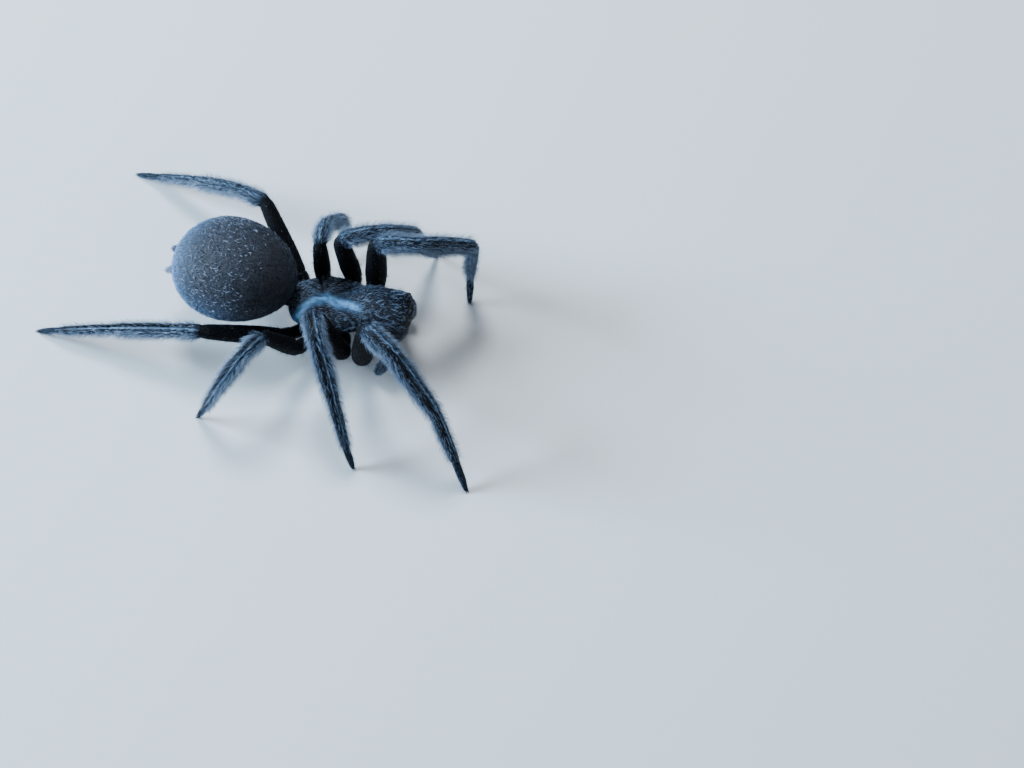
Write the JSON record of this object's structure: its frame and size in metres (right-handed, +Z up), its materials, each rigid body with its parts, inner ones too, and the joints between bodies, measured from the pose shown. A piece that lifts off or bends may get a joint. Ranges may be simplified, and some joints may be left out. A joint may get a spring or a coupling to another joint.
{
  "type": "black house spider",
  "caption": "Black house spider at life size, an adult female with a velvety charcoal abdomen, glossy black thighs and slate-haired legs, standing on the floor",
  "frame": {"origin": "middle of the footprint's bounding box, on the floor the spider stands on", "axes": "+X forward towards the head, +Y to the spider's left, +Z up from the floor"},
  "size_m": [0.0284, 0.0194, 0.0086],
  "materials": {
    "cuticle": "hard black body cuticle, glossy on the thighs",
    "leg_slate": "slate-grey leg cuticle under short hair",
    "velvet": "charcoal velvet of very short hair",
    "eye": "polished black eye lenses",
    "fang": "dark red-brown polished fang"
  },
  "bodies": {
    "root": {"abdomen": "velvet", "carapace": "cuticle", "eye_front_middle_left": "eye", "eye_front_middle_right": "eye", "eye_front_side_left": "eye", "eye_front_side_right": "eye", "eye_rear_middle_left": "eye", "eye_rear_middle_right": "eye", "eye_rear_side_left": "eye", "eye_rear_side_right": "eye", "labium": "cuticle", "left_chelicera": "cuticle", "left_fang": "fang", "left_leg_1_coxa": "cuticle", "left_leg_1_femur": "cuticle", "left_leg_1_foot": "leg_slate", "left_leg_1_shank": "leg_slate", "left_leg_2_coxa": "cuticle", "left_leg_2_femur": "cuticle", "left_leg_2_foot": "leg_slate", "left_leg_2_shank": "leg_slate", "left_leg_3_coxa": "cuticle", "left_leg_3_femur": "cuticle", "left_leg_3_foot": "leg_slate", "left_leg_3_shank": "leg_slate", "left_leg_4_coxa": "cuticle", "left_leg_4_femur": "cuticle", "left_leg_4_foot": "leg_slate", "left_leg_4_shank": "leg_slate", "left_maxilla": "cuticle", "left_palp_femur": "cuticle", "left_palp_tip": "leg_slate", "pedicel": "cuticle", "right_chelicera": "cuticle", "right_fang": "fang", "right_leg_1_coxa": "cuticle", "right_leg_1_femur": "cuticle", "right_leg_1_foot": "leg_slate", "right_leg_1_shank": "leg_slate", "right_leg_2_coxa": "cuticle", "right_leg_2_femur": "cuticle", "right_leg_2_foot": "leg_slate", "right_leg_2_shank": "leg_slate", "right_leg_3_coxa": "cuticle", "right_leg_3_femur": "cuticle", "right_leg_3_foot": "leg_slate", "right_leg_3_shank": "leg_slate", "right_leg_4_coxa": "cuticle", "right_leg_4_femur": "cuticle", "right_leg_4_foot": "leg_slate", "right_leg_4_shank": "leg_slate", "right_maxilla": "cuticle", "right_palp_femur": "cuticle", "right_palp_tip": "leg_slate", "spinneret_front_left": "velvet", "spinneret_front_right": "velvet", "spinneret_rear_left": "velvet", "spinneret_rear_right": "velvet", "sternum": "cuticle"}
  },
  "joints": []
}
